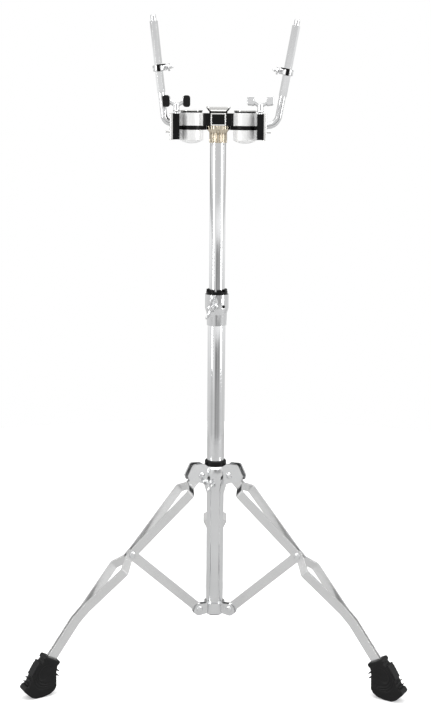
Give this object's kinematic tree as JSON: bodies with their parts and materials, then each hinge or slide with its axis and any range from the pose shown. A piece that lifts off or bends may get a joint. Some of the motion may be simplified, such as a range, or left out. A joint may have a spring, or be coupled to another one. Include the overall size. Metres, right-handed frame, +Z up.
{
  "type": "timbale stand",
  "caption": "Folding chrome tripod stand with a telescoping mast and a holder with two ball-clamped L-rods that carry a pair of timbales.",
  "frame": {"origin": "on the floor, in the middle of the footprint of the opened stand", "axes": "+Z up along the mast, +X to the side of the right-hand drum rod, -Y towards the player side with two of the three legs"},
  "size_m": [0.616, 0.5346, 1.0647],
  "materials": {
    "tube_chrome": "polished chrome plate",
    "cast_chrome": "polished chrome plate",
    "strip_chrome": "polished chrome plate",
    "holder_chrome": "polished chrome plate",
    "rod_chrome": "polished chrome plate",
    "fastener_chrome": "polished chrome plate",
    "rubber": "moulded black rubber",
    "black_plastic": "black nylon",
    "nylon": "dark nylon liner"
  },
  "bodies": {
    "leg_hub": {"leg_collar": "cast_chrome", "collar_bushing": "black_plastic", "leg_pivot_pins": "fastener_chrome"},
    "hub_lock": {"collar_lock_bolt": "fastener_chrome"},
    "column": {"lower_tube": "tube_chrome", "tube_end_plug": "black_plastic", "brace_bracket": "cast_chrome", "bracket_rivets": "fastener_chrome", "height_clamp": "cast_chrome", "clamp_bushing": "black_plastic", "clamp_set_screw": "fastener_chrome"},
    "clamp_bolt": {"clamp_wing_bolt": "fastener_chrome"},
    "mast": {"upper_tube": "tube_chrome"},
    "holder": {"holder_receiver": "holder_chrome", "holder_block": "black_plastic", "holder_frame": "holder_chrome", "holder_window_pad": "black_plastic", "holder_cap": "holder_chrome", "left_upper_shell": "holder_chrome", "left_lower_shell": "holder_chrome", "left_band": "black_plastic", "left_end_block": "black_plastic", "left_end_lug": "holder_chrome", "right_upper_shell": "holder_chrome", "right_lower_shell": "holder_chrome", "right_band": "black_plastic", "right_end_block": "black_plastic", "right_end_lug": "holder_chrome"},
    "leg_1": {"leg_1_strip_a": "strip_chrome", "leg_1_strip_b": "strip_chrome", "leg_1_spacer": "black_plastic", "leg_1_rivet": "fastener_chrome", "leg_1_foot": "rubber"},
    "brace_1_bar": {"brace_1": "strip_chrome"},
    "leg_2": {"leg_2_strip_a": "strip_chrome", "leg_2_strip_b": "strip_chrome", "leg_2_spacer": "black_plastic", "leg_2_rivet": "fastener_chrome", "leg_2_foot": "rubber"},
    "brace_2_bar": {"brace_2": "strip_chrome"},
    "leg_3": {"leg_3_strip_a": "strip_chrome", "leg_3_strip_b": "strip_chrome", "leg_3_spacer": "black_plastic", "leg_3_rivet": "fastener_chrome", "leg_3_foot": "rubber"},
    "brace_3_bar": {"brace_3": "strip_chrome"},
    "left_ball_joint": {"left_ball": "holder_chrome"},
    "left_liner": {"left_sleeve": "nylon"},
    "left_rod": {"left_drum_rod": "rod_chrome"},
    "left_lock": {"left_memory_lock": "fastener_chrome"},
    "left_lock_screw": {"left_memory_screw": "fastener_chrome"},
    "left_wing": {"left_wing_bolt": "fastener_chrome", "left_wing_tips": "rubber"},
    "right_ball_joint": {"right_ball": "holder_chrome"},
    "right_liner": {"right_sleeve": "nylon"},
    "right_rod": {"right_drum_rod": "rod_chrome"},
    "right_lock": {"right_memory_lock": "fastener_chrome"},
    "right_lock_screw": {"right_memory_screw": "fastener_chrome"},
    "right_wing": {"right_wing_bolt": "fastener_chrome"}
  },
  "joints": [
    {"name": "column_slide", "type": "slide", "parent": "leg_hub", "child": "column", "axis": [0, 0, 1], "range_m": [-0.10701, 0]},
    {"name": "leg_1_fold", "type": "hinge", "parent": "leg_hub", "child": "leg_1", "pos_m": [0, -0.05214, 0.326], "axis": [-1, 0, 0], "range_deg": [0, 40.05]},
    {"name": "brace_1_swing", "type": "hinge", "parent": "leg_1", "child": "brace_1_bar", "pos_m": [0, 0.07387, 0.20849], "axis": [1, 0, 0], "range_deg": [0, 80.1]},
    {"name": "leg_2_fold", "type": "hinge", "parent": "leg_hub", "child": "leg_2", "pos_m": [-0.02685, -0.09864, 0.326], "axis": [0.5, -0.866, 0], "range_deg": [0, 40.05]},
    {"name": "brace_2_swing", "type": "hinge", "parent": "leg_2", "child": "brace_2_bar", "pos_m": [-0.13598, -0.16165, 0.20849], "axis": [-0.5, 0.866, 0], "range_deg": [0, 80.1]},
    {"name": "leg_3_fold", "type": "hinge", "parent": "leg_hub", "child": "leg_3", "pos_m": [0.02685, -0.09864, 0.326], "axis": [0.5, 0.866, 0], "range_deg": [0, 40.05]},
    {"name": "brace_3_swing", "type": "hinge", "parent": "leg_3", "child": "brace_3_bar", "pos_m": [0.13598, -0.16165, 0.20849], "axis": [-0.5, -0.866, 0], "range_deg": [0, 80.1]},
    {"name": "hub_lock_turn", "type": "hinge", "parent": "leg_hub", "child": "hub_lock", "pos_m": [-0.00813, -0.10815, 0.309], "axis": [-0.309, -0.9511, 0], "range_deg": [-30, 360]},
    {"name": "clamp_bolt_turn", "type": "hinge", "parent": "column", "child": "clamp_bolt", "pos_m": [-0.00844, -0.1091, 0.607], "axis": [-0.309, -0.9511, 0], "range_deg": [-30, 360]},
    {"name": "height_slide", "type": "slide", "parent": "column", "child": "mast", "axis": [0, 0, 1], "range_m": [-0.22, 0.18]},
    {"name": "holder_swivel", "type": "hinge", "parent": "mast", "child": "holder", "pos_m": [0, -0.08314, 0.868], "axis": [0, 0, 1], "continuous": true},
    {"name": "left_ball_tilt", "type": "hinge", "parent": "holder", "child": "left_ball_joint", "pos_m": [-0.0425, -0.08314, 0.891], "axis": [0, 1, 0], "range_deg": [-7.5, 7.5]},
    {"name": "left_rod_turn", "type": "hinge", "parent": "left_ball_joint", "child": "left_liner", "pos_m": [-0.0425, -0.08314, 0.891], "axis": [-0.9744, 0, 0.225], "range_deg": [-5, 60]},
    {"name": "left_rod_reach", "type": "slide", "parent": "left_liner", "child": "left_rod", "axis": [-0.9744, 0, 0.225], "range_m": [0, 0.008]},
    {"name": "left_lock_slide", "type": "slide", "parent": "left_rod", "child": "left_lock", "axis": [-0.1097, 0, 0.994], "range_m": [-0.03, 0.07]},
    {"name": "left_lock_screw_turn", "type": "hinge", "parent": "left_lock", "child": "left_lock_screw", "pos_m": [-0.08111, -0.08314, 0.98434], "axis": [-0.994, 0, -0.1097], "range_deg": [-30, 360]},
    {"name": "left_wing_turn", "type": "hinge", "parent": "holder", "child": "left_wing", "pos_m": [-0.0657, -0.10314, 0.9155], "axis": [0, 0, 1], "range_deg": [-30, 360]},
    {"name": "right_ball_tilt", "type": "hinge", "parent": "holder", "child": "right_ball_joint", "pos_m": [0.0425, -0.08314, 0.891], "axis": [0, -1, 0], "range_deg": [-7.5, 7.5]},
    {"name": "right_rod_turn", "type": "hinge", "parent": "right_ball_joint", "child": "right_liner", "pos_m": [0.0425, -0.08314, 0.891], "axis": [-0.9936, 0, -0.1132], "range_deg": [-5, 60]},
    {"name": "right_rod_reach", "type": "slide", "parent": "right_liner", "child": "right_rod", "axis": [0.9936, 0, 0.1132], "range_m": [0, 0.008]},
    {"name": "right_lock_slide", "type": "slide", "parent": "right_rod", "child": "right_lock", "axis": [0.1771, 0, 0.9842], "range_m": [-0.03, 0.07]},
    {"name": "right_lock_screw_turn", "type": "hinge", "parent": "right_lock", "child": "right_lock_screw", "pos_m": [0.09479, -0.08314, 0.98034], "axis": [0.9842, 0, -0.1771], "range_deg": [-30, 360]},
    {"name": "right_wing_turn", "type": "hinge", "parent": "holder", "child": "right_wing", "pos_m": [0.0657, -0.10314, 0.9155], "axis": [0, 0, 1], "range_deg": [-30, 360]}
  ],
  "couplings": [
    {"joint": "leg_1_fold", "follows": "column_slide", "rad_per_m": -6.5237},
    {"joint": "brace_1_swing", "follows": "column_slide", "rad_per_m": -13.047},
    {"joint": "leg_2_fold", "follows": "column_slide", "rad_per_m": -6.5237},
    {"joint": "brace_2_swing", "follows": "column_slide", "rad_per_m": -13.047},
    {"joint": "leg_3_fold", "follows": "column_slide", "rad_per_m": -6.5237},
    {"joint": "brace_3_swing", "follows": "column_slide", "rad_per_m": -13.047}
  ]
}
